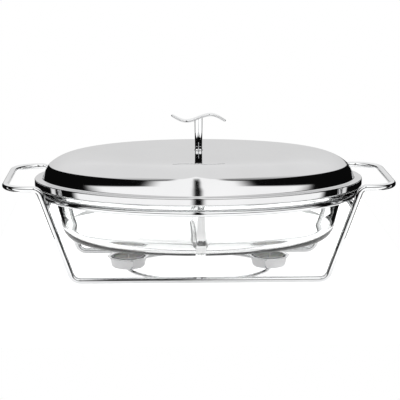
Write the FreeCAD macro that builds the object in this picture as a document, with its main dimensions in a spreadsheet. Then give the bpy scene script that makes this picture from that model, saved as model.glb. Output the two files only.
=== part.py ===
import FreeCAD, Part
import Sketcher

import math
import os
import re

# Oval buffet food warmer: a lidded, divided glass dish standing in a bent wire
# stand, with two tealight cups under it.
# Frame: origin on the table under the middle of the stand, +X along the oval,
# +Y to the back, +Z up, millimetres.

os.makedirs("parts", exist_ok=True)
doc = FreeCAD.newDocument("food_warmer")
V = FreeCAD.Vector
ALONG_Y = FreeCAD.Rotation(V(1, 0, 0), 90)      # turns a flat section to face -Y
UPRIGHT = FreeCAD.Rotation()

# ------------------------------------------------------- driving dimensions
DIMENSIONS = {
    # stand: one closed bent wire, made as a front half and a back half
    "frame_wire": 7.5,          # diameter
    "frame_half": 76,           # wire centre line to the X axis
    "handle_reach": 230,        # end bar of a carrying handle
    "handle_height": 114,
    "leg_top": 189,             # where a handle arm bends down into its leg
    "leg_foot": 150,            # where a leg bends into the bottom rail
    "handle_bend": 30,          # bend radii of the centre line
    "leg_bend": 9,
    "foot_bend": 12,
    # oval ring that carries the dish, and the cross wires under its ends
    "ring_wire": 7.3,
    "ring_long": 189.5,         # half sizes of an oval: _long in X, _wide in Y
    "ring_wide": 131.5,
    "ring_height": 95.5,
    "cross_wire": 6,
    "weld": 0.15,               # how far welded wires sink into each other
    # loop on the table that carries the tealight cups
    "loop_wire": 4,
    "loop_long": 88,
    # ten-sided pressed cups; _corner is a radius to the corners
    "cup_offset": 86.6,
    "cup_forward": 6,           # cups stand a little in front of the X axis
    "cup_foot_corner": 20,
    "cup_neck_corner": 22.6,
    "cup_flange_corner": 26,
    "cup_depth": 11.2,          # foot to neck
    "cup_flare": 1.2,           # neck to the underside of the flange
    "cup_sheet": 0.8,
    # glass dish
    "rim_long": 196,
    "rim_wide": 134.5,
    "rim_thick": 6.2,
    "rim_round": 1.6,
    "rest_gap": 0.35,           # where one loose piece rests on another
    "dish_bottom": 36,
    "dish_mouth": 176,          # outside half length just under the rim
    "dish_wall": 168,           # the same where the bottom corner starts
    "dish_corner": 24,
    "dish_oval": 58,            # half length less half width of the bowl
    "glass": 5,
    "glass_floor": 6.5,
    "divider_top": 7.5,
    "divider_base": 12,
    "divider_drop": 9,          # divider's top edge below the rim
    # lid: return lip, skirt, ledge, shoulder and a dome above a crease
    "lid_long": 199,
    "lid_wide": 137.5,
    "lid_ledge": 114.6,
    "lid_lip": 8.5,
    "lid_sheet": 0.9,
    "shoulder_long": 190,
    "shoulder_wide": 128.5,
    "crease_long": 181.5,
    "crease_wide": 118.8,
    "crease_height": 130.6,
    "dome_rise": 16,
    "dome_power": 10,           # the higher, the flatter the top and rounder its edge
    # lid handle: wavy bar on a post of two ribs, held by a screw from below
    "rib_top": 5.4,
    "rib_foot": 4.4,
    "rib_pitch": 4.2,
    "bar_half": 33,
    "bar_wave": 3.7,
    "bar_tail": 4.2,            # how far the bar's right end turns down
    "bar_height": 186.4,
    "bar_thick": 4,
    "bar_deep": 7,
    "screw": 3,
    "screw_length": 13,
    "screw_head": 7,
    "head_height": 2.6,
    "washer_wide": 14,
    "washer_thick": 1.2,
    # tealights
    "tin_foot": 17.8,           # radii
    "tin_rim": 18.8,
    "tin_height": 12.4,
    "tin_sheet": 0.4,
    "wax_level": 9.8,
    "wick": 1.6,
    "wick_length": 13.2,
    "holder_wide": 12,
    "holder_thick": 0.6,
}

dims = doc.addObject("Spreadsheet::Sheet", "dims")
for row, (alias, value) in enumerate(DIMENSIONS.items(), start=1):
    dims.set("A%d" % row, alias)
    dims.set("B%d" % row, str(value))
    dims.setAlias("B%d" % row, alias)
doc.recompute()

# Sizes that follow from the driving ones, as formulas of the sheet's aliases.
LOOP_WIDE = "frame_half - frame_wire / 2 - loop_wire / 2 + weld"
RIM_UNDER = "ring_height + ring_wire / 2 + rest_gap"
RIM_TOP = "%s + rim_thick" % RIM_UNDER
LID_UNDER = "%s + rest_gap" % RIM_TOP
DOME_TOP = "crease_height + dome_rise"
CUP_BOTTOM = "loop_wire - weld"
TIN_BOTTOM = "%s + cup_sheet + rest_gap" % CUP_BOTTOM
CROSS_HEIGHT = "ring_height - ring_wire / 2 - cross_wire / 2 + weld"

subparts = []


def formula(text):
    """The text with each alias written as a reference to the sheet."""
    def reference(word):
        name = word.group(0)
        return "dims." + name if name in DIMENSIONS else name
    return re.sub(r"[a-z_]+", reference, str(text))


def size(text):
    """The value in millimetres of a formula of the sheet's aliases."""
    return float(dims.evalExpression(formula(text)))


def bind(obj, **formulas):
    """Bind properties to formulas; x, y and z stand for the placement."""
    for name, text in formulas.items():
        path = "Placement.Base." + name if name in "xyz" else name
        obj.setExpression(path, formula(text))
    return obj


def new(kind, name, rotation=UPRIGHT, **formulas):
    """A document object with a rotation and bound properties."""
    obj = doc.addObject(kind, name)
    obj.Placement = FreeCAD.Placement(V(), rotation)
    return bind(obj, **formulas)


def subpart(obj, label):
    """Give a finished piece its own name and keep it for export."""
    obj.Label = label
    subparts.append(obj)
    return obj


def cut(name, base, tool):
    obj = doc.addObject("Part::Cut", name)
    obj.Base = base
    obj.Tool = tool
    return obj


def fuse(name, shapes):
    obj = doc.addObject("Part::MultiFuse", name)
    obj.Shapes = shapes
    return obj


def oval(name, long, wide, height):
    """A flat oval wire, long in X, at a height."""
    return new("Part::Ellipse", name, MajorRadius=long, MinorRadius=wide, z=height)


def loft(name, sections, ruled):
    obj = doc.addObject("Part::Loft", name)
    obj.Sections = sections
    obj.Solid = True
    obj.Ruled = ruled
    return obj


def oval_loft(name, stations, ruled=True):
    """A solid through ovals, each given as (long, wide, height)."""
    sections = [oval("%s_oval_%d" % (name, k), *s) for k, s in enumerate(stations)]
    return loft(name, sections, ruled)


def sweep(name, section, path):
    """A section swept along every edge of a path object."""
    doc.recompute()
    obj = doc.addObject("Part::Sweep", name)
    obj.Sections = [section]
    obj.Spine = (path, ["Edge%d" % (k + 1) for k in range(len(path.Shape.Edges))])
    obj.Solid = True
    obj.Frenet = False
    return obj


def revolved(name, outline):
    """A body turned about Z from an outline of (radius, height) formulas."""
    body = doc.addObject("PartDesign::Body", name)
    planes = {f.Role: f for f in body.Origin.OriginFeatures}
    sketch = body.newObject("Sketcher::SketchObject", name + "_outline")
    sketch.AttachmentSupport = [(planes["XZ_Plane"], "")]
    sketch.MapMode = "FlatFace"
    points = [V(size(r), size(h), 0) for r, h in outline]
    count = len(points)
    for k in range(count):
        sketch.addGeometry(Part.LineSegment(points[k], points[(k + 1) % count]))
    for k in range(count):
        sketch.addConstraint(
            Sketcher.Constraint("Coincident", k, 2, (k + 1) % count, 1))
    for k, (r, h) in enumerate(outline):
        for way, text in (("DistanceX", r), ("DistanceY", h)):
            index = sketch.addConstraint(
                Sketcher.Constraint(way, -1, 1, k, 1, size(text)))
            sketch.setExpression("Constraints[%d]" % index, formula(text))
    turn = body.newObject("PartDesign::Revolution", name + "_turn")
    turn.Profile = sketch
    turn.ReferenceAxis = (sketch, ["V_Axis"])
    turn.Angle = 360
    body.Tip = turn
    return body


def bent_path(name, corners, radii):
    """Straight runs between corners, joined by tangent arcs."""
    edges = []
    start = corners[0]
    for corner, after, radius in zip(corners[1:-1], corners[2:], radii):
        back = (start - corner).normalize()
        ahead = (after - corner).normalize()
        half_turn = (math.pi - back.getAngle(ahead)) / 2
        tangent = radius * math.tan(half_turn)
        crown = (back + ahead).normalize() * (radius / math.cos(half_turn) - radius)
        first, last = corner + back * tangent, corner + ahead * tangent
        edges.append(Part.LineSegment(start, first).toShape())
        edges.append(Part.Arc(first, corner + crown, last).toShape())
        start = last
    edges.append(Part.LineSegment(start, corners[-1]).toShape())
    path = doc.addObject("Part::Feature", name)
    path.Shape = Part.Wire(edges)
    return path


# -------------------------------------------------------------------- stand
def frame_wire(label, side):
    """Half of the stand: end bars, arms, legs and a bottom rail on one side."""
    reach, top, foot = size("handle_reach"), size("leg_top"), size("leg_foot")
    high, low = size("handle_height"), size("frame_wire / 2")
    y = side * size("frame_half")
    right = [V(foot, y, low), V(top, y, high), V(reach, y, high), V(reach, 0, high)]
    left = [V(-p.x, p.y, p.z) for p in reversed(right)]
    bends = [size(r) for r in ("foot_bend", "leg_bend", "handle_bend")]
    path = bent_path(label + "_path", left + right, bends[::-1] + bends)
    section = new("Part::Circle", label + "_section", ALONG_Y, Radius="frame_wire / 2",
                  x="-handle_reach", z="handle_height")
    return subpart(sweep(label + "_wire", section, path), label)


def oval_wire(label, long, wide, height, wire):
    """A round wire bent into a closed oval."""
    path = oval(label + "_path", long, wide, height)
    section = new("Part::Circle", label + "_section", ALONG_Y, Radius=wire + " / 2",
                  x=long, z=height)
    return subpart(sweep(label + "_wire", section, path), label)


def cross_wire(label, side):
    """Straight wire from leg to leg under one end of the ring."""
    slope = "(leg_top - leg_foot) / (handle_height - frame_wire / 2)"
    across = "leg_top - (handle_height - (%s)) * %s" % (CROSS_HEIGHT, slope)
    rod = new("Part::Cylinder", label + "_rod", ALONG_Y, Radius="cross_wire / 2",
              Height="2 * frame_half - frame_wire + 2 * weld",
              x="%d * (%s)" % (side, across), y="frame_half - frame_wire / 2 + weld",
              z=CROSS_HEIGHT)
    return subpart(rod, label)


def ten_sided(name, corner, height):
    """A ten-sided wire with a flat side facing the front."""
    ring = new("Part::RegularPolygon", name, Circumradius=corner, z=height)
    ring.Polygon = 10
    return ring


def candle_cup(label, side):
    """Pressed cup with ten flat sides, a flared neck and a flat flange."""
    outside = [("cup_foot_corner", "0"),
               ("cup_neck_corner", "cup_depth"),
               ("cup_flange_corner", "cup_depth + cup_flare"),
               ("cup_flange_corner", "cup_depth + cup_flare + cup_sheet")]
    inside = [("cup_foot_corner - cup_sheet", "cup_sheet"),
              ("cup_neck_corner - cup_sheet", "cup_depth + cup_flare + cup_sheet"),
              ("cup_neck_corner - cup_sheet", "cup_depth + cup_flare + 2 * cup_sheet")]
    solids = []
    for name, stations in (("outside", outside), ("inside", inside)):
        rings = [ten_sided("%s_%s_%d" % (label, name, k), corner, height)
                 for k, (corner, height) in enumerate(stations)]
        solids.append(loft("%s_%s" % (label, name), rings, ruled=True))
    cup = cut(label + "_cup", *solids)
    bind(cup, x="%d * cup_offset" % side, y="-cup_forward", z=CUP_BOTTOM)
    return subpart(cup, label)


for label, side in (("front_frame_wire", -1), ("back_frame_wire", 1)):
    frame_wire(label, side)
oval_wire("dish_ring", "ring_long", "ring_wide", "ring_height", "ring_wire")
oval_wire("base_loop", "loop_long", LOOP_WIDE, "loop_wire / 2", "loop_wire")
for word, side in (("left", -1), ("right", 1)):
    cross_wire(word + "_cross_wire", side)
    candle_cup(word + "_candle_cup", side)


# --------------------------------------------------------------- glass dish
def bowl(name, wall, floor, mouth_height):
    """A bowl's solid: rounded bottom corner, then a drafted wall, set in by wall."""
    radius = "(dish_corner - %s)" % wall
    centre = "(dish_wall - dish_corner)"
    level = "(dish_bottom + dish_corner)"
    stations = []
    for degrees in (90, 68, 45, 22, 0):
        out = "%s + %s * cos(%d)" % (centre, radius, degrees)
        down = "%s - (%s - (%s)) * sin(%d)" % (level, level, floor, degrees)
        stations.append((out, out + " - dish_oval", down))
    for share in (0.5, 1):
        out = "dish_wall - %s + (dish_mouth - dish_wall) * %g" % (wall, share)
        up = "%s + (%s - %s) * %g" % (level, mouth_height, level, share)
        stations.append((out, out + " - dish_oval", up))
    return oval_loft(name, stations, ruled=False)


def divider():
    """Wall across the middle of the bowl, thicker at its foot."""
    floor = "(dish_bottom + glass_floor)"
    wedge = new("Part::Wedge", "divider",
                Xmin="-divider_base / 2", Xmax="divider_base / 2",
                X2min="-divider_top / 2", X2max="divider_top / 2",
                Ymin="dish_bottom + glass / 2", Ymax=RIM_TOP + " - divider_drop",
                Zmin="-rim_wide", Zmax="rim_wide", Z2min="-rim_wide", Z2max="rim_wide")
    # A wedge narrows along its own Y, which stands upright here.
    wedge.Placement = FreeCAD.Placement(V(), ALONG_Y)
    return wedge


def glass_dish():
    body = bowl("bowl_outside", "0", "dish_bottom", "(%s)" % RIM_UNDER)
    inner = "(rim_long - rim_round)", "(rim_wide - rim_round)"
    rim = oval_loft("rim", [
        inner + (RIM_UNDER,),
        ("rim_long", "rim_wide", RIM_UNDER + " + rim_round"),
        ("rim_long", "rim_wide", RIM_TOP + " - rim_round"),
        inner + (RIM_TOP,)])
    hollow = bowl("bowl_inside", "glass", "dish_bottom + glass_floor",
                  "(%s + rim_round)" % RIM_TOP)
    compartments = cut("compartments", hollow, divider())
    dish = cut("dish", fuse("dish_blank", [body, rim]), compartments)
    return subpart(dish, "glass_dish")


glass_dish()


# ---------------------------------------------------------------------- lid
def lid_solid(name, inset):
    """The lid's outer solid, or with an inset the hollow inside its sheet."""
    def station(long, wide, height):
        return ("%s - %s" % (long, inset), "%s - %s" % (wide, inset), height)

    ledge = "lid_ledge - " + inset
    crease = "crease_height - " + inset
    skirt = oval_loft(name + "_skirt", [
        station("lid_long", "lid_wide", "%s + %s" % (LID_UNDER, inset)),
        station("lid_long", "lid_wide", ledge)])
    shoulder = oval_loft(name + "_shoulder", [
        station("shoulder_long", "shoulder_wide", ledge),
        station("crease_long", "crease_wide", crease)])
    dome_stations = []
    for share in (1, 0.98, 0.96, 0.93, 0.9, 0.86, 0.81, 0.74, 0.64, 0.45, 0.03):
        rise = "%s + dome_rise * (1 - %g ^ dome_power)" % (crease, share)
        dome_stations.append(("(crease_long - %s) * %g" % (inset, share),
                              "(crease_wide - %s) * %g" % (inset, share), rise))
    dome = oval_loft(name + "_dome", dome_stations)
    return fuse(name, [skirt, shoulder, dome])


def lid_shell():
    mouth = oval_loft("lid_mouth", [
        ("lid_long - lid_lip", "lid_wide - lid_lip", LID_UNDER + " - lid_sheet"),
        ("lid_long - lid_lip", "lid_wide - lid_lip", LID_UNDER + " + lid_sheet")])
    screw_hole = new("Part::Cylinder", "lid_screw_hole", Radius="screw / 2",
                     Height="dome_rise", z="crease_height + dome_rise / 2")
    hollow = fuse("lid_hollow", [lid_solid("lid_inside", "lid_sheet"), mouth, screw_hole])
    shell = cut("lid_sheet_metal", lid_solid("lid_outside", "0"), hollow)
    return subpart(shell, "lid_shell")


def handle_bar():
    """Flat-oval bar in one long wave, left end up and right end down."""
    half, wave, level = size("bar_half"), size("bar_wave"), size("bar_height")
    heights = (wave, -wave, 0, wave, -size("bar_tail"))
    points = [V(half * (k - 2) / 2, 0, level + up) for k, up in enumerate(heights)]
    curve = Part.BSplineCurve()
    curve.interpolate(points)
    path = doc.addObject("Part::Feature", "handle_bar_path")
    path.Shape = Part.Wire([curve.toShape()])
    section = new("Part::Ellipse", "handle_bar_section",
                  MajorRadius="bar_deep / 2", MinorRadius="bar_thick / 2",
                  x="-bar_half", z="bar_height + bar_wave")
    heading = curve.tangent(curve.FirstParameter)[0]
    turned = FreeCAD.Rotation(V(0, 1, 0), heading.cross(V(0, 1, 0)), heading, "XYZ")
    section.Placement = FreeCAD.Placement(points[0], turned)
    return subpart(sweep("wave", section, path), "handle_bar")


def handle_post(bar):
    """Two upright ribs side by side, tapering down, under the bar."""
    ribs = [new("Part::Cone", "rib_%d" % k, Radius1="rib_foot / 2", Radius2="rib_top / 2",
                Height="bar_height - (%s)" % DOME_TOP, x="%g * rib_pitch" % where,
                z=DOME_TOP)
            for k, where in enumerate((-0.5, 0.5))]
    hole = new("Part::Cylinder", "post_hole", Radius="screw / 2",
               Height="screw_length - lid_sheet - washer_thick", z=DOME_TOP)
    blank = cut("post_blank", fuse("ribs", ribs), hole)
    return subpart(cut("post", blank, bar), "handle_post")


def handle_fastening():
    """Screw from inside the lid into the post, with a washer."""
    under_dome = DOME_TOP + " - lid_sheet"
    screw = revolved("screw_body", [
        ("0", "0"), ("screw_head / 2 - 1", "0"), ("screw_head / 2", "1"),
        ("screw_head / 2", "head_height"), ("screw / 2", "head_height"),
        ("screw / 2", "head_height + screw_length"), ("0", "head_height + screw_length")])
    bind(screw, z="%s - washer_thick - head_height" % under_dome)
    subpart(screw, "handle_screw")
    washer = revolved("washer_body", [
        ("screw / 2", "0"), ("washer_wide / 2", "0"),
        ("washer_wide / 2", "washer_thick"), ("screw / 2", "washer_thick")])
    bind(washer, z="%s - washer_thick" % under_dome)
    subpart(washer, "handle_washer")


lid_shell()
handle_post(handle_bar())
handle_fastening()


# ---------------------------------------------------------------- tealights
def tealight(word, side):
    """A tin with wax, and a wick standing in a metal holder."""
    inner_foot = "tin_foot - tin_sheet"
    inner_rim = "tin_rim - tin_sheet"
    wax_rim = ("%s + (tin_rim - tin_foot) * (wax_level - tin_sheet) / "
               "(tin_height - tin_sheet)") % inner_foot
    holder_top = "tin_sheet + holder_thick"
    outlines = {
        "tealight_tin": [
            ("0", "0"), ("tin_foot", "0"), ("tin_rim", "tin_height"),
            (inner_rim, "tin_height"), (inner_foot, "tin_sheet"), ("0", "tin_sheet")],
        "tealight_wax": [
            ("wick / 2", holder_top), ("holder_wide / 2", holder_top),
            ("holder_wide / 2", "tin_sheet"), (inner_foot, "tin_sheet"),
            (wax_rim, "wax_level"), ("wick / 2", "wax_level")],
        "wick_holder": [
            ("0", "tin_sheet"), ("holder_wide / 2", "tin_sheet"),
            ("holder_wide / 2", holder_top), ("0", holder_top)],
        "wick": [
            ("0", holder_top), ("wick / 2", holder_top),
            ("wick / 2", holder_top + " + wick_length"),
            ("0", holder_top + " + wick_length")],
    }
    for piece, outline in outlines.items():
        body = revolved("%s_%s_body" % (word, piece), outline)
        bind(body, x="%d * cup_offset" % side, y="-cup_forward", z=TIN_BOTTOM)
        subpart(body, "%s_%s" % (word, piece))


for word, side in (("left", -1), ("right", 1)):
    tealight(word, side)

# ------------------------------------------------------------ check and save
doc.recompute()
for obj in doc.Objects:
    if "Invalid" in obj.State or "Error" in obj.State:
        raise RuntimeError("%s failed: %s" % (obj.Name, obj.State))
for piece in subparts:
    shape = piece.Shape
    if shape.isNull() or not shape.isValid() or len(shape.Solids) != 1 or shape.Volume <= 0:
        raise RuntimeError("%s is not one valid solid" % piece.Label)
    shape.exportStep(os.path.join("parts", piece.Label + ".step"))
    box = shape.optimalBoundingBox(False)
    print("%-20s volume %9.0f  x %7.1f %7.1f  y %7.1f %7.1f  z %6.1f %6.1f" % (
        piece.Label, shape.Volume, box.XMin, box.XMax, box.YMin, box.YMax, box.ZMin, box.ZMax))
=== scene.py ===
import math

import bmesh
import bpy
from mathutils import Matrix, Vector


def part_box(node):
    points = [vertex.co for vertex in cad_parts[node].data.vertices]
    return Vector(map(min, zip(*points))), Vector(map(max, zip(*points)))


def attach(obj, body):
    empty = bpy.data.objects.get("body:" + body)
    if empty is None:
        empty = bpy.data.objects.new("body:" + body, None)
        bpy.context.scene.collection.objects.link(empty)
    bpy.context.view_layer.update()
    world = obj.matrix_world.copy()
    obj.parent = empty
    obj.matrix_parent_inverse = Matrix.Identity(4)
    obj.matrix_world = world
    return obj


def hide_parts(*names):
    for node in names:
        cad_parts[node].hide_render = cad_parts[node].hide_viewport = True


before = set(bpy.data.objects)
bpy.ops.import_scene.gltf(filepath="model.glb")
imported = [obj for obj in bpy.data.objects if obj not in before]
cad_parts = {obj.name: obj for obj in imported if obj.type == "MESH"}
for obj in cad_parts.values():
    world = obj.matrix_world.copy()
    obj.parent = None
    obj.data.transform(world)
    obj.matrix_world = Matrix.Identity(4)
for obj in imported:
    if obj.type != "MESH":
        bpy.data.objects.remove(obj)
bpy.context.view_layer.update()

# Looks of the oval buffet food warmer, in metres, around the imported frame.
# Every size comes from the frame's boxes or is a named value below.

MM = 0.001
AROUND = 256                    # points round an oval

FRAME_WIRE = 7.5 * MM           # the stand's wire and its bends
LEG_TOP, LEG_FOOT = 189 * MM, 150 * MM
HANDLE_BEND, LEG_BEND, FOOT_BEND = 30 * MM, 9 * MM, 12 * MM
RIM_THICK = 6.2 * MM            # glass dish
DISH_WALL = 168 * MM
DISH_CORNER = 24 * MM
DISH_OVAL = 58 * MM
WALL_DRAFT = 8 / 39.5
GLASS_WALL, GLASS_FLOOR = 5 * MM, 6.5 * MM
DIVIDER_TOP, DIVIDER_BASE, DIVIDER_DROP = 7.5 * MM, 12 * MM, 9 * MM
FOOT_FILLET = 4 * MM
SKIRT = 8.55 * MM               # lid
LID_LIP, LID_SHEET = 8.5 * MM, 0.9 * MM
SHOULDER_LONG, SHOULDER_WIDE = 190 * MM, 128.5 * MM
CREASE_LONG, CREASE_WIDE = 181.5 * MM, 118.8 * MM
SHOULDER_BELLY = Vector((0.7, 0.7, 0.35)) * MM      # how far the shoulder bulges
DOME_RISE, DOME_POWER = 16 * MM, 10
BAR_HALF, BAR_THICK, BAR_DEEP = 33 * MM, 4 * MM, 7 * MM
BAR_WAVE, BAR_TAIL = 3.7 * MM, 4.2 * MM     # crests, and the right end, off the middle
BAR_CROWN = 5.8 * MM            # the bar's highest point above its middle level
BAR_POINTS, BAR_SIDES = 72, 32
RIB_PITCH = 4.2 * MM
WELD_LONG, WELD_WIDE, WELD_TALL = 4.32 * MM, 3.6 * MM, 2.2 * MM     # half sizes
FLOOR_HALF, FLOOR_FRONT, FLOOR_BACK = 0.26, -0.32, 0.42
FLOOR_GLOW, FLOOR_SEEN = 0.32, 0.6      # own light, and what is added where it is seen
TO_VIEWER = (0, -0.98, 0.201)   # direction from the object to someone in front of it
FRONT_LIGHT = 1.3               # the front wall, against the ceiling's 1


# ------------------------------------------------------------ sizes in use
def half_sizes(node):
    """(half length, half width, lowest, highest) of a node."""
    low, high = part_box(node)
    return (high.x - low.x) / 2, (high.y - low.y) / 2, low.z, high.z


def wire_oval(node):
    """(half length, half width, height, radius) of an oval wire's centre line."""
    long, wide, low, high = half_sizes(node)
    radius = (high - low) / 2
    return long - radius, wide - radius, low + radius, radius


# ------------------------------------------------------------------ meshes
class Surface:
    """Patches of points that are joined into one mesh where they meet."""

    def __init__(self):
        self.verts, self.faces = [], []

    def number(self, points):
        first = len(self.verts)
        self.verts.extend(points)
        return list(range(first, len(self.verts)))

    def strip(self, rings, closed=False):
        """Quads between closed rings of equal length."""
        loops = [self.number(ring) for ring in rings]
        count = len(rings[0])
        pairs = list(zip(loops, loops[1:]))
        if closed:
            pairs.append((loops[-1], loops[0]))
        for a, b in pairs:
            for k in range(count):
                after = (k + 1) % count
                self.faces.append((a[k], a[after], b[after], b[k]))

    def sheet(self, rows):
        """Quads between open rows of equal length."""
        loops = [self.number(row) for row in rows]
        for a, b in zip(loops, loops[1:]):
            for k in range(len(a) - 1):
                self.faces.append((a[k], a[k + 1], b[k + 1], b[k]))

    def cap(self, ring):
        """One flat face over a ring."""
        self.faces.append(tuple(self.number(ring)))

    def mesh(self, name, material, crease=40):
        """The joined mesh: edges that fold more than crease degrees stay sharp."""
        mesh = bpy.data.meshes.new(name)
        mesh.from_pydata([tuple(v) for v in self.verts], [], self.faces)
        work = bmesh.new()
        work.from_mesh(mesh)
        bmesh.ops.remove_doubles(work, verts=work.verts, dist=0.004 * MM)
        bmesh.ops.recalc_face_normals(work, faces=work.faces)
        for face in work.faces:
            face.smooth = True
        limit = math.radians(crease)
        for edge in work.edges:
            if len(edge.link_faces) == 2 and edge.calc_face_angle() > limit:
                edge.smooth = False
        work.to_mesh(mesh)
        work.free()
        mesh.materials.append(material)
        return mesh

    def build(self, name, material, body, replaces, crease=40):
        """A piece that rides on a body and stands for CAD nodes."""
        piece = bpy.data.objects.new(name, self.mesh(name, material, crease))
        bpy.context.scene.collection.objects.link(piece)
        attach(piece, body)
        if replaces:
            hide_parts(*replaces)
        return piece


def oval_ring(long, wide, height, count=AROUND):
    turn = 2 * math.pi / count
    return [Vector((long * math.cos(k * turn), wide * math.sin(k * turn), height))
            for k in range(count)]


def arc(centre, radius, start, stop, steps):
    """Points (out, up) of an arc in a profile, angles in degrees from outward."""
    turns = [math.radians(start + (stop - start) * k / steps) for k in range(steps + 1)]
    return [(centre[0] + radius * math.cos(turn), centre[1] + radius * math.sin(turn))
            for turn in turns]


def around(path):
    """Direction at each point of a closed path."""
    count = len(path)
    return [(path[(k + 1) % count] - path[k - 1]).normalized() for k in range(count)]


def path_tangents(path):
    """Direction at each point of an open path."""
    last = len(path) - 1
    return [(path[min(k + 1, last)] - path[max(k - 1, 0)]).normalized()
            for k in range(len(path))]


def tube_rings(path, radius, tangents, sides=28):
    """Rings of a round wire, square to the path and free of twist."""
    across = tangents[0].orthogonal().normalized()
    rings = []
    for point, along in zip(path, tangents):
        across = (across - along * across.dot(along)).normalized()
        other = along.cross(across)
        rings.append([point + (across * math.cos(2 * math.pi * k / sides)
                               + other * math.sin(2 * math.pi * k / sides)) * radius
                      for k in range(sides)])
    return rings


def wire(name, path, tangents, radius, closed, replaces):
    """A chrome wire of the stand along a path."""
    rings = tube_rings(path, radius, tangents)
    surface = Surface()
    surface.strip(rings, closed)
    if not closed:
        surface.cap(rings[0])
        surface.cap(rings[-1])
    return surface.build(name, CHROME, "stand", replaces)


def bent_path(corners, radii, steps=14):
    """Points of straight runs joined by tangent arcs, with the path's direction."""
    path, heading = [corners[0]], [(corners[1] - corners[0]).normalized()]
    for corner, after, radius in zip(corners[1:-1], corners[2:], radii):
        back = (path[-1] - corner).normalized()
        ahead = (after - corner).normalized()
        turn = math.pi - back.angle(ahead)
        middle = corner + (back + ahead).normalized() * radius / math.cos(turn / 2)
        first = (corner + back * radius * math.tan(turn / 2) - middle) / math.sin(turn)
        last = (corner + ahead * radius * math.tan(turn / 2) - middle) / math.sin(turn)
        for k in range(steps + 1):
            done = turn * k / steps
            path.append(middle + first * math.sin(turn - done) + last * math.sin(done))
            heading.append((last * math.cos(done) - first * math.cos(turn - done)).normalized())
    path.append(corners[-1])
    heading.append((corners[-1] - path[-2]).normalized())
    return path, heading


# --------------------------------------------------------------- materials
def nodes_of(material):
    material.use_nodes = True
    tree = material.node_tree
    shader = next(n for n in tree.nodes if n.type == "BSDF_PRINCIPLED")
    return tree, shader


def noise(tree, scale, detail=3.0, stretch=(1, 1, 1)):
    """Noise over the object's own coordinates, in metres times a stretch."""
    where = tree.nodes.new("ShaderNodeTexCoord")
    mapping = tree.nodes.new("ShaderNodeMapping")
    mapping.inputs["Scale"].default_value = stretch
    texture = tree.nodes.new("ShaderNodeTexNoise")
    texture.inputs["Scale"].default_value = scale
    texture.inputs["Detail"].default_value = detail
    tree.links.new(where.outputs["Object"], mapping.inputs["Vector"])
    tree.links.new(mapping.outputs["Vector"], texture.inputs["Vector"])
    return texture.outputs["Fac"]


def spread(tree, value, low, high):
    """A 0 to 1 value mapped to a range of numbers."""
    ranged = tree.nodes.new("ShaderNodeMapRange")
    ranged.inputs["From Min"].default_value = 0.3
    ranged.inputs["From Max"].default_value = 0.7
    ranged.inputs["To Min"].default_value = low
    ranged.inputs["To Max"].default_value = high
    tree.links.new(value, ranged.inputs["Value"])
    return ranged.outputs["Result"]


def two_tones(tree, value, dark, light):
    ramp = tree.nodes.new("ShaderNodeValToRGB")
    ramp.color_ramp.elements[0].position = 0.3
    ramp.color_ramp.elements[1].position = 0.7
    ramp.color_ramp.elements[0].color = dark + (1,)
    ramp.color_ramp.elements[1].color = light + (1,)
    tree.links.new(value, ramp.inputs["Fac"])
    return ramp.outputs["Color"]


def bump(tree, shader, value, height, strength=1.0):
    relief = tree.nodes.new("ShaderNodeBump")
    relief.inputs["Distance"].default_value = height
    relief.inputs["Strength"].default_value = strength
    tree.links.new(value, relief.inputs["Height"])
    tree.links.new(relief.outputs["Normal"], shader.inputs["Normal"])


def metal(name, dark, light, rough, grain=(1, 1, 1), grain_scale=900, height=0.0):
    """Metal whose tone and roughness vary a little along its grain."""
    material = bpy.data.materials.new(name)
    tree, shader = nodes_of(material)
    shader.inputs["Metallic"].default_value = 1.0
    grains = noise(tree, grain_scale, stretch=grain)
    clouds = noise(tree, 14)
    tree.links.new(two_tones(tree, clouds, dark, light), shader.inputs["Base Color"])
    tree.links.new(spread(tree, grains, *rough), shader.inputs["Roughness"])
    if height:
        bump(tree, shader, grains, height)
    return material


def glass_material():
    """Clear pressed glass with the faint waves of the mould."""
    material = bpy.data.materials.new("pressed_glass")
    tree, shader = nodes_of(material)
    shader.inputs["Transmission Weight"].default_value = 1.0
    shader.inputs["IOR"].default_value = 1.48
    shader.inputs["Roughness"].default_value = 0.0
    waves = noise(tree, 22, 2.0)
    tone = two_tones(tree, waves, (0.955, 0.968, 0.966), (0.985, 0.99, 0.988))
    tree.links.new(tone, shader.inputs["Base Color"])
    bump(tree, shader, waves, 0.12 * MM, 0.35)
    return material


def soft_material(name, dark, light, rough, scale, height, under=0.0):
    """Wax and cotton: matt, uneven, with a little light inside."""
    material = bpy.data.materials.new(name)
    tree, shader = nodes_of(material)
    grains = noise(tree, scale, 6.0)
    tree.links.new(two_tones(tree, grains, dark, light), shader.inputs["Base Color"])
    tree.links.new(spread(tree, grains, *rough), shader.inputs["Roughness"])
    shader.inputs["Subsurface Weight"].default_value = under
    shader.inputs["Subsurface Radius"].default_value = (0.004, 0.003, 0.002)
    bump(tree, shader, grains, height)
    return material


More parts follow.
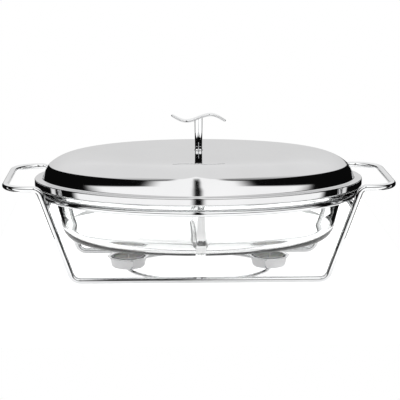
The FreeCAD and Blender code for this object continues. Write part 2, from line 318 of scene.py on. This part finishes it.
CHROME = metal("chrome_wire", (0.78, 0.785, 0.79), (0.84, 0.845, 0.85), (0.02, 0.05),
               height=0.002 * MM)
CAST_CHROME = metal("polished_cast", (0.80, 0.805, 0.81), (0.86, 0.865, 0.87), (0.03, 0.06),
                    height=0.004 * MM)
LID_STEEL = metal("polished_lid", (0.665, 0.665, 0.67), (0.70, 0.70, 0.705), (0.03, 0.06),
                  grain=(1, 9, 1), grain_scale=500)
CUP_STEEL = metal("cup_steel", (0.80, 0.80, 0.805), (0.87, 0.87, 0.875), (0.07, 0.14),
                  grain=(9, 9, 1), grain_scale=320, height=0.004 * MM)
FASTENER = metal("fastener_steel", (0.50, 0.51, 0.52), (0.62, 0.63, 0.64), (0.18, 0.32),
                 height=0.01 * MM)
FOIL = metal("tealight_foil", (0.78, 0.78, 0.79), (0.86, 0.86, 0.87), (0.14, 0.26),
             grain=(6, 6, 1), grain_scale=260, height=0.01 * MM)
GLASS = glass_material()
WAX = soft_material("wax", (0.88, 0.87, 0.83), (0.94, 0.93, 0.90), (0.32, 0.5), 160,
                    0.05 * MM, under=0.4)
COTTON = soft_material("wick_cotton", (0.80, 0.78, 0.72), (0.92, 0.90, 0.85), (0.8, 0.95),
                       2500, 0.2 * MM)


# ------------------------------------------------------------------- stand
def stand_wires():
    low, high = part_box("front_frame_wire")
    radius = FRAME_WIRE / 2
    reach, back = high.x - radius, -low.y - radius
    bottom, top = low.z + radius, high.z - radius
    bends = [FOOT_BEND, LEG_BEND, HANDLE_BEND]
    for name, y in (("front_frame_wire", -back), ("back_frame_wire", back)):
        right = [Vector((LEG_FOOT, y, bottom)), Vector((LEG_TOP, y, top)),
                 Vector((reach, y, top)), Vector((reach, 0, top))]
        left = [Vector((-p.x, p.y, p.z)) for p in reversed(right)]
        path, heading = bent_path(left + right, bends[::-1] + bends)
        wire(name + "_tube", path, heading, radius, False, [name])
    for name in ("dish_ring", "base_loop"):
        long, wide, height, radius = wire_oval(name)
        path = oval_ring(long, wide, height)
        wire(name + "_tube", path, around(path), radius, True, [name])
    for name in ("left_cross_wire", "right_cross_wire"):
        low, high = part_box(name)
        middle = (low + high) / 2
        path = [Vector((middle.x, y, middle.z)) for y in (low.y, 0, high.y)]
        wire(name + "_tube", path, [Vector((0, 1, 0))] * 3, (high.x - low.x) / 2, False,
             [name])


def weld_beads():
    """Small flattened beads where the ring lies on a cross wire."""
    long, wide, height, radius = wire_oval("dish_ring")
    for name in ("left_cross_wire", "right_cross_wire"):
        low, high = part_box(name)
        x = (low.x + high.x) / 2
        surface = Surface()
        for side in (-1, 1):
            y = side * wide * math.sqrt(1 - (x / long) ** 2)
            centre = Vector((x, y, height - radius))
            rings = []
            for k in range(9):
                lean = math.pi * (k - 4) / 8.6
                rings.append([centre + Vector((WELD_LONG * math.cos(lean) * math.cos(turn),
                                               WELD_WIDE * math.cos(lean) * math.sin(turn),
                                               WELD_TALL * math.sin(lean)))
                              for turn in (2 * math.pi * j / 20 for j in range(20))])
            surface.strip(rings)
            surface.cap(rings[0])
            surface.cap(rings[-1])
        surface.build(name.replace("wire", "weld"), CHROME, "stand", [])


# --------------------------------------------------------------------- cups
def ten_sided(corner, soft, height, centre, steps=6):
    """Ten-sided ring with rounded corners, a flat side facing the front."""
    inner = corner - soft / math.cos(math.pi / 10)
    ring = []
    for k in range(10):
        middle = 2 * math.pi * k / 10
        for j in range(steps + 1):
            turn = middle + math.pi / 10 * (2 * j / steps - 1)
            ring.append(Vector((
                centre.x + inner * math.cos(middle) + soft * math.cos(turn),
                centre.y + inner * math.sin(middle) + soft * math.sin(turn),
                height)))
    return ring


def candle_cup(name):
    low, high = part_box(name)
    centre = (low + high) / 2
    profile = [(18.6, 0.0), (19.4, 0.12), (19.9, 0.5), (20.1, 1.0), (21.2, 5.6), (22.3, 10.4),
               (22.9, 11.3), (23.9, 11.9), (25.4, 12.35), (25.85, 12.5), (26.0, 12.8),
               (25.9, 13.1), (25.6, 13.2), (23.2, 13.2), (22.3, 12.95), (21.7, 12.2),
               (20.4, 5.6), (19.4, 1.6), (19.0, 1.0), (18.4, 0.8)]
    surface = Surface()
    rings = [ten_sided(r * MM, (1.6 if h < 11 else 2.2) * MM, low.z + h * MM, centre)
             for r, h in profile]
    surface.strip(rings)
    surface.cap(rings[0])
    surface.cap(rings[-1])
    surface.build(name + "_shell", CUP_STEEL, "stand", [name])


# --------------------------------------------------------------- glass dish
def dish_section():
    """Heights and half sizes the glass dish is made from."""
    long, wide, low, high = half_sizes("glass_dish")
    return long, wide, low, high, high - RIM_THICK


def bowl_ring(out, height, angles):
    """Oval ring of the bowl, its half width narrower than its half length."""
    wide = out - DISH_OVAL
    return [Vector((out * math.cos(a), wide * math.sin(a), height)) for a in angles]


def inner_wall(height, floor):
    """Half length of the bowl's inside at a height."""
    bend = floor + DISH_CORNER - GLASS_FLOOR
    if height >= bend:
        return DISH_WALL - GLASS_WALL + (height - bend) * WALL_DRAFT
    share = (bend - height) / (bend - floor)
    return DISH_WALL - DISH_CORNER + (DISH_CORNER - GLASS_WALL) * math.sqrt(1 - share * share)


def glass_dish():
    long, wide, low, high, rim_under = dish_section()
    floor = low + GLASS_FLOOR
    ridge = high - DIVIDER_DROP             # top of the divider
    foot = ridge - DIVIDER_TOP / 2          # where its rounded top starts
    half = DIVIDER_TOP / 2

    def divider_half(height):
        lean = (DIVIDER_BASE - DIVIDER_TOP) / 2 / (ridge - low - GLASS_WALL / 2)
        thick = half + (ridge - height) * lean
        rise = FOOT_FILLET - (height - floor)
        if rise > 0:
            thick += FOOT_FILLET - math.sqrt(max(FOOT_FILLET ** 2 - rise ** 2, 0))
        return thick

    # Angles of the columns round the bowl: right end, back of the divider,
    # left end, front of the divider.
    arc_steps, arch_steps, side_steps = 120, 12, 24
    reach = inner_wall(foot, floor)
    edge = math.acos(half / reach)
    ends = [edge * (2 * k / arc_steps - 1) for k in range(arc_steps + 1)]
    arch = [math.acos(half * math.cos(math.pi * k / arch_steps) / reach)
            for k in range(1, arch_steps)]
    angles = (ends + arch + [a + math.pi for a in ends] + [a + math.pi for a in arch])

    surface = Surface()
    # outside, from the flat bottom up the wall, round the rim and down inside
    slope = math.atan(WALL_DRAFT)
    bend = Vector((DISH_WALL - DISH_CORNER / math.cos(slope), low + DISH_CORNER))
    outside = [(bend.x + DISH_CORNER * math.cos(t), bend.y + DISH_CORNER * math.sin(t))
               for t in (-math.pi / 2 + (math.pi / 2 - slope) * k / 14 for k in range(15))]
    top_out = DISH_WALL + (rim_under - low - DISH_CORNER) * WALL_DRAFT
    outside += [(outside[-1][0] + (top_out - outside[-1][0]) * t,
                 outside[-1][1] + (rim_under - 3 * MM - outside[-1][1]) * t)
                for t in (0.25, 0.5, 0.75, 1)]
    outside += [(top_out + 3 * MM * (1 - math.cos(t)), rim_under - 3 * MM * (1 - math.sin(t)))
                for t in (math.pi / 2 * k / 6 for k in range(1, 7))]
    rings = [bowl_ring(out, height, angles) for out, height in outside]
    surface.cap(rings[0])
    round_edge = 2.2 * MM
    rim = []
    for out, height, start in ((long - round_edge, rim_under + round_edge, -90),
                               (long - round_edge, high - round_edge, 0)):
        rim += arc((out, height), round_edge, start, start + 90, 6)
    narrower = long - wide
    rings += [[Vector((out * math.cos(a), (out - narrower) * math.sin(a), height))
               for a in angles] for out, height in rim]
    mouth = inner_wall(high, floor)
    lip = 2.6 * MM
    inside = arc((mouth + lip, high - lip), lip, 90, 180, 6)
    inside = [(out - WALL_DRAFT * (high - height), height) for out, height in inside]
    inside += [(inner_wall(h, floor), h) for h in (ridge + 3 * MM, ridge + 1 * MM)]
    rings += [bowl_ring(out, height, angles) for out, height in inside]

    def lower_edge(angle):
        """Point of the bowl where the wall meets a compartment or the divider."""
        x = reach * math.cos(angle)
        rise = half * math.sqrt(max(1 - (x / half) ** 2, 0)) if abs(x) < half else 0
        height = foot + rise
        return bowl_ring(inner_wall(height, floor), height, [angle])[0]

    edge_ring = [lower_edge(a) for a in angles]
    rings.append(edge_ring)
    surface.strip(rings)

    # each compartment, ring by ring down to its floor
    levels = [foot - (foot - bend.y) * k / 5 for k in range(1, 6)]
    depth = bend.y - floor
    levels += [bend.y - depth * math.sin(math.pi / 2 * k / 16) for k in range(1, 17)]
    for side in (1, -1):
        rings = []
        for height in [foot] + levels:
            x, out = divider_half(height), inner_wall(height, floor)
            corner = math.acos(x / out)
            end = bowl_ring(out, height, [corner * (2 * k / arc_steps - 1)
                                          for k in range(arc_steps + 1)])
            y = end[-1].y
            flat = [Vector((x, y - 2 * y * k / side_steps, height))
                    for k in range(1, side_steps)]
            rings.append([Vector((side * p.x, side * p.y, p.z)) for p in end + flat])
        surface.strip(rings)
        surface.cap(rings[-1])

    # the divider's rounded top
    rows = []
    back = edge_ring[arc_steps:arc_steps + arch_steps + 1]
    half_way = arc_steps + arch_steps
    front = edge_ring[half_way + arc_steps:] + [edge_ring[0]]
    for near, far in zip(reversed(front), back):
        rows.append([far.lerp(near, k / side_steps) for k in range(side_steps + 1)])
    surface.sheet(rows)
    surface.build("divided_glass_dish", GLASS, "dish", ["glass_dish"], crease=40)


# ---------------------------------------------------------------------- lid
def lid_profile(inset):
    """Stations (half length, half width, height) from the skirt's foot to the apex."""
    long, wide, low, high = half_sizes("lid_shell")
    crease, ledge = high - DOME_RISE, low + SKIRT
    shoulder = Vector((SHOULDER_LONG, SHOULDER_WIDE, ledge))
    edge = Vector((CREASE_LONG, CREASE_WIDE, crease))
    belly = (shoulder + edge) / 2 + SHOULDER_BELLY
    inward = Vector((inset, inset, inset))
    corners = [Vector((long - LID_LIP, wide - LID_LIP, low + inset)),
               Vector((long - inset, wide - inset, low + inset)),
               Vector((long, wide, ledge)) - inward]
    corners += [point - inward for point in (shoulder, belly, edge)]

    def dome(share):
        return Vector(((CREASE_LONG - inset) * share, (CREASE_WIDE - inset) * share,
                       crease - inset + DOME_RISE * (1 - share ** DOME_POWER)))

    corners.append(dome(0.985))
    path, _ = bent_path(corners, [1.0 * MM, 1.6 * MM, 2.4 * MM, 30 * MM, 5 * MM], 8)
    shares = [0.985 * math.cos(math.pi / 2 * k / 41) ** 0.5 for k in range(1, 41)]
    return path + [dome(share) for share in shares]


def lid_shell():
    outside = lid_profile(0)
    inside = lid_profile(LID_SHEET)
    surface = Surface()
    stations = list(reversed(inside)) + outside
    rings = [oval_ring(p.x, p.y, p.z) for p in stations]
    surface.strip(rings)
    surface.cap(rings[0])
    surface.cap(rings[-1])
    surface.build("domed_lid", LID_STEEL, "lid", ["lid_shell"], crease=60)


# ------------------------------------------------------------------- handle
def handle_bar():
    """Wavy flat-oval bar, thinner toward its two tips."""
    _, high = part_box("handle_bar")
    level = high.z - BAR_CROWN
    knots_x = [BAR_HALF * (k - 2) / 2 for k in range(5)]
    knots_z = [level + up for up in (BAR_WAVE, -BAR_WAVE, 0, BAR_WAVE, -BAR_TAIL)]
    path = []
    for k in range(BAR_POINTS + 1):
        x = -BAR_HALF + 2 * BAR_HALF * k / BAR_POINTS
        path.append(Vector((x, 0, through(knots_x, knots_z, x))))
    headings = path_tangents(path)
    rings = []
    for k, (point, along) in enumerate(zip(path, headings)):
        share = abs(2 * k / BAR_POINTS - 1)
        slim = 1 - 0.22 * share ** 3
        end = math.sqrt(max(1 - max(share - 0.965, 0) ** 2 / 0.035 ** 2, 0.02))
        up = along.cross(Vector((0, 1, 0))).normalized() * -1
        thick = BAR_THICK / 2 * slim * end
        deep = BAR_DEEP / 2 * (1 - 0.25 * share ** 3) * end
        rings.append([point + up * thick * math.sin(t) + Vector((0, 1, 0)) * deep * math.cos(t)
                      for t in (2 * math.pi * j / BAR_SIDES for j in range(BAR_SIDES))])
    surface = Surface()
    surface.strip(rings)
    surface.cap(rings[0])
    surface.cap(rings[-1])
    surface.build("wavy_bar", CAST_CHROME, "lid", ["handle_bar"])
    return level


def through(xs, ys, x):
    """Natural cubic through five evenly spaced knots."""
    step = xs[1] - xs[0]
    bends = [0.0] * 5
    inner = [(ys[k - 1] - 2 * ys[k] + ys[k + 1]) * 6 / step ** 2 for k in (1, 2, 3)]
    # bends solve the 3 x 3 system with 4 on the diagonal and 1 beside it
    a, b, c = inner
    bends[1] = (15 * a - 4 * b + c) / 56
    bends[2] = (-4 * a + 16 * b - 4 * c) / 56
    bends[3] = (a - 4 * b + 15 * c) / 56
    k = min(max(int((x - xs[0]) / step), 0), 3)
    left, right = (xs[k + 1] - x) / step, (x - xs[k]) / step
    return (left * ys[k] + right * ys[k + 1]
            + ((left ** 3 - left) * bends[k] + (right ** 3 - right) * bends[k + 1])
            * step ** 2 / 6)


def handle_post(top):
    """Two ribs run together, wider at the top, with a small foot on the lid."""
    low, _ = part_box("handle_post")
    shift = RIB_PITCH / 2
    rings = []
    for height, radius in ((0, 2.9), (0.5, 2.9), (0.9, 2.6), (1.5, 2.25), (6, 2.3), (14, 2.42),
                           (22, 2.52), (30, 2.62), (top / MM - low.z / MM, 2.69)):
        radius *= MM
        ring = []
        open_turn = math.pi - math.acos(min(shift / radius, 1)) - 0.04
        for side in (1, -1):
            for j in range(25):
                turn = open_turn * (2 * j / 24 - 1)
                ring.append(Vector((side * (shift + radius * math.cos(turn)),
                                    side * radius * math.sin(turn),
                                    low.z + height * MM)))
        rings.append(ring)
    surface = Surface()
    surface.strip(rings)
    surface.cap(rings[0])
    surface.cap(rings[-1])
    surface.build("ribbed_post", CAST_CHROME, "lid", ["handle_post"])


def turned(name, profile, centre, material, body, replaces, flutes=None, crease=40,
           count=96):
    """Piece turned about an upright axis from (radius, height) in millimetres."""
    surface = Surface()
    rings = []
    for radius, height in profile:
        ring = []
        for k in range(count):
            turn = 2 * math.pi * k / count
            out = radius + (flutes(radius, height, turn) if flutes else 0)
            ring.append(centre + Vector((out * math.cos(turn), out * math.sin(turn),
                                         height)) * MM)
        rings.append(ring)
    surface.strip(rings)
    surface.cap(rings[0])
    surface.cap(rings[-1])
    return surface.build(name, material, body, replaces, crease)


def fastening():
    low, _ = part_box("handle_screw")
    centre = Vector((0, 0, low.z))
    head = [(0.4, 0.9), (1.2, 0.9), (1.5, 0.12), (2.2, 0.02), (3.0, 0.35), (3.42, 0.95),
            (3.5, 1.4), (3.5, 2.45), (3.4, 2.6), (1.5, 2.6)]
    thread = []
    for k in range(24):
        thread.append((1.5 if k % 2 else 1.25, 2.9 + 0.5 * k))
    turned("handle_bolt", head + thread + [(0.9, 15.5), (0.3, 15.6)], centre, FASTENER, "lid",
           ["handle_screw"])
    low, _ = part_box("handle_washer")
    centre = Vector((0, 0, low.z))
    turned("handle_shim", [(1.6, 0.5), (1.7, 0.1), (2.0, 0), (6.7, 0), (6.95, 0.12), (7, 0.4),
                           (7, 0.8), (6.95, 1.08), (6.7, 1.2), (2.0, 1.2), (1.7, 1.1),
                           (1.6, 0.7)], centre, FASTENER, "lid", ["handle_washer"])


# ---------------------------------------------------------------- tealights
def tealight(word):
    body = word + "_tealight"
    low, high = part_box(word + "_tealight_tin")
    centre = Vector(((low.x + high.x) / 2, (low.y + high.y) / 2, low.z))

    def flutes(radius, height, turn):
        inside_wall = 1.6 < height < 11.2 and radius > 16
        return 0.16 * (math.cos(40 * turn) - 1) if inside_wall else 0

    turned(word + "_tin_cup",
           [(15.6, 0.25), (16.2, 0.02), (17.0, 0.05), (17.5, 0.3), (17.8, 0.8), (17.9, 1.6),
            (18.05, 3), (18.25, 6), (18.45, 9), (18.55, 11.2), (18.6, 11.6), (18.8, 11.9),
            (18.8, 12.2), (18.6, 12.4), (18.3, 12.4), (18.15, 12.1), (18.1, 11.2),
            (18.0, 9), (17.8, 6), (17.6, 3), (17.4, 1.5), (17.0, 0.8), (16, 0.6)],
           centre, FOIL, body, [word + "_tealight_tin"], flutes, count=240)
    turned(word + "_wax_fill",
           [(17.0, 1.4), (17.35, 3), (17.6, 6), (17.85, 9.2), (17.7, 9.75), (16.8, 9.55),
            (14, 9.35), (9, 9.3), (4.5, 9.35), (2.4, 9.6), (1.4, 9.8), (0.9, 9.4),
            (0.82, 8.2)],
           centre, WAX, body, [word + "_tealight_wax"])
    turned(word + "_holder_disc",
           [(5.0, 0.45), (5.8, 0.45), (6.0, 0.6), (5.9, 0.95), (5.4, 1.0), (2.2, 1.0),
            (1.6, 1.5), (1.3, 3.2), (1.0, 3.4), (0.82, 3.0)],
           centre, FOIL, body, [word + "_wick_holder"])
    # plaited wick: three strands turning about each other
    low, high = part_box(word + "_wick")
    surface = Surface()
    steps = 44
    for strand in range(3):
        path = []
        for k in range(steps + 1):
            rise = k / steps
            turn = 2 * math.pi * (strand / 3 + 1.6 * rise)
            lean = 1.1 * MM * rise ** 3
            path.append(Vector((centre.x + 0.34 * MM * math.cos(turn) + lean,
                                centre.y + 0.34 * MM * math.sin(turn),
                                low.z + (high.z - low.z - 0.3 * MM) * rise)))
        rings = tube_rings(path, 0.42 * MM, path_tangents(path), 10)
        surface.strip(rings)
        surface.cap(rings[0])
        surface.cap(rings[-1])
    surface.build(word + "_plaited_wick", COTTON, body, [word + "_wick"])


stand_wires()
weld_beads()
for word in ("left", "right"):
    candle_cup(word + "_candle_cup")
    tealight(word)
glass_dish()
lid_shell()
handle_post(handle_bar())
fastening()


# ------------------------------------------------------------------- studio
class Shade:
    """Small sums on numbers in a shader tree."""

    def __init__(self, tree):
        self.tree = tree

    def put(self, socket, value):
        if isinstance(value, (int, float)):
            socket.default_value = value
        else:
            self.tree.links.new(value, socket)

    def sum(self, kind, *values):
        node = self.tree.nodes.new("ShaderNodeMath")
        node.operation = kind
        for socket, value in zip(node.inputs, values):
            self.put(socket, value)
        return node.outputs[0]

    def step(self, value, start, stop):
        """0 below start, 1 above stop, smooth between; falls if stop < start."""
        node = self.tree.nodes.new("ShaderNodeMapRange")
        node.interpolation_type = "SMOOTHSTEP"
        low, high = min(start, stop), max(start, stop)
        self.put(node.inputs["Value"], value)
        node.inputs["From Min"].default_value = low
        node.inputs["From Max"].default_value = high
        node.inputs["To Min"].default_value = 0 if start < stop else 1
        node.inputs["To Max"].default_value = 1 if start < stop else 0
        return node.outputs["Result"]

    def ramp(self, value, span, levels):
        """Straight change from one level to another over a span of the value."""
        node = self.tree.nodes.new("ShaderNodeMapRange")
        self.put(node.inputs["Value"], value)
        for name, number in zip(("From Min", "From Max", "To Min", "To Max"), span + levels):
            node.inputs[name].default_value = number
        return node.outputs["Result"]

    def product(self, *values):
        result = values[0]
        for value in values[1:]:
            result = self.sum("MULTIPLY", result, value)
        return result


def studio_floor():
    """Pale sheet under and behind the object, ending in front of it."""
    count = 24
    deep = FLOOR_BACK - FLOOR_FRONT
    rows = [[Vector((-FLOOR_HALF + 2 * FLOOR_HALF * i / count,
                     FLOOR_FRONT + deep * j / count, 0))
             for i in range(count + 1)] for j in range(count + 1)]
    surface = Surface()
    surface.sheet(rows)
    material = bpy.data.materials.new("pale_floor")
    tree, shader = nodes_of(material)
    shader.inputs["Roughness"].default_value = 0.9
    shader.inputs["Specular IOR Level"].default_value = 0.1
    shader.inputs["Emission Color"].default_value = (1, 1, 1, 1)
    path = tree.nodes.new("ShaderNodeLightPath")
    shade = Shade(tree)
    seen = shade.sum("MAXIMUM", path.outputs["Is Camera Ray"],
                     path.outputs["Is Transmission Ray"])
    tree.links.new(shade.sum("MULTIPLY_ADD", seen, FLOOR_SEEN, FLOOR_GLOW),
                   shader.inputs["Emission Strength"])
    tone = two_tones(tree, noise(tree, 3), (0.93, 0.93, 0.93), (0.95, 0.95, 0.95))
    tree.links.new(tone, shader.inputs["Base Color"])
    mesh = surface.mesh("studio_floor", material)
    floor = bpy.data.objects.new("studio_floor", mesh)
    bpy.context.scene.collection.objects.link(floor)


def studio_world():
    """Dark room with a white front wall, ceiling panel and back wall."""
    world = bpy.data.worlds.new("studio")
    bpy.context.scene.world = world
    world.use_nodes = True
    tree = world.node_tree
    shade = Shade(tree)
    where = tree.nodes.new("ShaderNodeTexCoord")
    parts = tree.nodes.new("ShaderNodeSeparateXYZ")
    tree.links.new(where.outputs["Generated"], parts.inputs["Vector"])
    x, y, z = parts.outputs
    degree = 180 / math.pi
    forward = shade.sum("MULTIPLY", y, -1)
    azimuth = shade.sum("MULTIPLY", shade.sum("ARCTAN2", x, forward), degree)
    azimuth = shade.sum("ABSOLUTE", azimuth)
    height = shade.sum("MULTIPLY", shade.sum("ARCSINE", z), degree)

    # the big ceiling panel: directions mirrored by surfaces that face well up
    lifted = tree.nodes.new("ShaderNodeVectorMath")
    lifted.operation = "ADD"
    lifted.inputs[1].default_value = TO_VIEWER
    tree.links.new(where.outputs["Generated"], lifted.inputs[0])
    unit = tree.nodes.new("ShaderNodeVectorMath")
    unit.operation = "NORMALIZE"
    tree.links.new(lifted.outputs[0], unit.inputs[0])
    up = tree.nodes.new("ShaderNodeSeparateXYZ")
    tree.links.new(unit.outputs[0], up.inputs[0])
    panel = shade.step(up.outputs[2], math.cos(math.radians(52)), math.cos(math.radians(48)))
    far = shade.ramp(height, (-5, 35), (0.70, 1.0))
    far = shade.sum("MAXIMUM", far, shade.step(azimuth, 130, 110))
    panel = shade.product(panel, far)

    # white front wall, lower toward its sides, and a bright gap at each side
    edge = shade.sum("SUBTRACT", 84, shade.sum("MULTIPLY", azimuth, 0.75))
    over = shade.sum("SUBTRACT", height, edge)
    front = shade.product(shade.step(over, 5, -5), shade.step(azimuth, 80, 72))
    slit = shade.product(shade.step(azimuth, 4.5, 0.8), shade.step(height, 76, 70))
    horizon = shade.product(shade.step(height, -4, 0), shade.step(height, 24, 16))
    front = shade.product(front, shade.sum("SUBTRACT", 1, slit),
                          shade.sum("SUBTRACT", 1, horizon), FRONT_LIGHT)
    strip = shade.product(shade.step(azimuth, 99, 102), shade.step(azimuth, 109, 106),
                          shade.step(height, 6, 0))
    behind = shade.product(shade.step(azimuth, 166, 172), far)
    light = panel
    for area in (front, strip, behind):
        light = shade.sum("MAXIMUM", light, area)
    light = shade.sum("MULTIPLY_ADD", light, 0.996, 0.004)

    path = tree.nodes.new("ShaderNodeLightPath")
    even = shade.sum("MAXIMUM", path.outputs["Is Camera Ray"], path.outputs["Is Diffuse Ray"])
    strength = shade.sum("MAXIMUM", light, even)
    background = tree.nodes["Background"]
    background.inputs["Color"].default_value = (1, 1, 1, 1)
    tree.links.new(strength, background.inputs["Strength"])


def camera():
    turn, rise, distance = math.radians(-1.75), math.radians(11.6), 1.75
    target = Vector((0.0018, 0, 0.0847))
    back = Vector((math.sin(turn) * math.cos(rise), -math.cos(turn) * math.cos(rise),
                   math.sin(rise)))
    data = bpy.data.cameras.new("photo_view")
    data.sensor_width = 36
    data.lens = 128.7
    eye = bpy.data.objects.new("photo_view", data)
    eye.location = target + back * distance
    eye.rotation_euler = back.to_track_quat("Z", "Y").to_euler()
    bpy.context.scene.collection.objects.link(eye)
    bpy.context.scene.camera = eye


studio_floor()
studio_world()
camera()
bpy.context.scene.view_settings.view_transform = "Standard"
